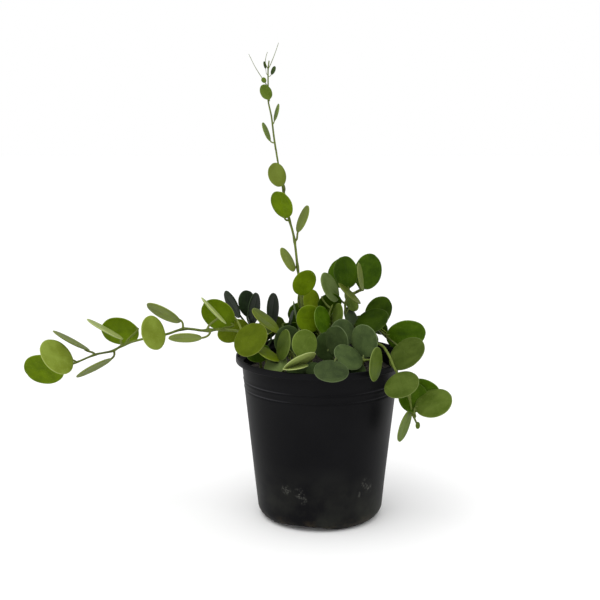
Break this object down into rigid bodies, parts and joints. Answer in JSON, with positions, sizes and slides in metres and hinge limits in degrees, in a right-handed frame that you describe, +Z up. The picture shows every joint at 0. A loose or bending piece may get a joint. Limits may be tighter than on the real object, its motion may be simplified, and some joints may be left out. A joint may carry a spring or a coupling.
{
  "type": "potted succulent vine",
  "caption": "Small succulent vine with round thick leaves on thin arching and trailing stems, growing in a round black plastic nursery pot.",
  "frame": {"origin": "centre of the pot's flat underside, on the surface it stands on", "axes": "+Z up along the pot's axis; +Y away from the viewer, towards the back; +X to the viewer's right, so the long arching stem reaches out along -X"},
  "size_m": [0.4109, 0.1932, 0.4611],
  "materials": {
    "pot": "matte black, lightly scuffed near the foot",
    "soil": null,
    "stem": "thin grey-green living stem",
    "leaf": null
  },
  "bodies": {
    "root": {"pot": "pot", "soil": "soil", "left_vine_stem": "stem", "left_vine_leaf_01": "leaf", "left_vine_leaf_02": "leaf", "left_vine_leaf_03": "leaf", "left_vine_leaf_04": "leaf", "left_vine_leaf_05": "leaf", "left_vine_leaf_06": "leaf", "left_vine_leaf_07": "leaf", "left_vine_leaf_08": "leaf", "left_vine_leaf_09": "leaf", "left_vine_leaf_10": "leaf", "left_vine_leaf_11": "leaf", "left_vine_leaf_12": "leaf", "left_vine_leaf_13": "leaf", "upright_vine_stem": "stem", "upright_vine_leaf_01": "leaf", "upright_vine_leaf_02": "leaf", "upright_vine_leaf_03": "leaf", "upright_vine_leaf_04": "leaf", "upright_vine_leaf_05": "leaf", "upright_vine_leaf_06": "leaf", "back_right_vine_stem": "stem", "back_right_vine_leaf_01": "leaf", "back_right_vine_leaf_02": "leaf", "back_right_vine_leaf_03": "leaf", "back_right_vine_leaf_04": "leaf", "back_right_vine_leaf_05": "leaf", "right_vine_stem": "stem", "right_vine_leaf_01": "leaf", "right_vine_leaf_02": "leaf", "right_vine_leaf_03": "leaf", "right_vine_leaf_04": "leaf", "trailing_vine_stem": "stem", "trailing_vine_leaf_01": "leaf", "trailing_vine_leaf_02": "leaf", "trailing_vine_leaf_03": "leaf", "trailing_vine_leaf_04": "leaf", "front_vine_stem": "stem", "front_vine_leaf_01": "leaf", "front_vine_leaf_02": "leaf", "front_vine_leaf_03": "leaf", "front_vine_leaf_04": "leaf", "front_left_vine_stem": "stem", "front_left_vine_leaf_01": "leaf", "front_left_vine_leaf_02": "leaf", "front_left_vine_leaf_03": "leaf", "front_left_vine_leaf_04": "leaf", "front_left_vine_leaf_05": "leaf", "back_left_vine_stem": "stem", "back_left_vine_leaf_01": "leaf", "back_left_vine_leaf_02": "leaf", "back_left_vine_leaf_03": "leaf", "back_left_vine_leaf_04": "leaf", "middle_vine_stem": "stem", "middle_vine_leaf_01": "leaf", "middle_vine_leaf_02": "leaf", "middle_vine_leaf_03": "leaf", "upright_vine_shoot": "stem"}
  },
  "joints": []
}
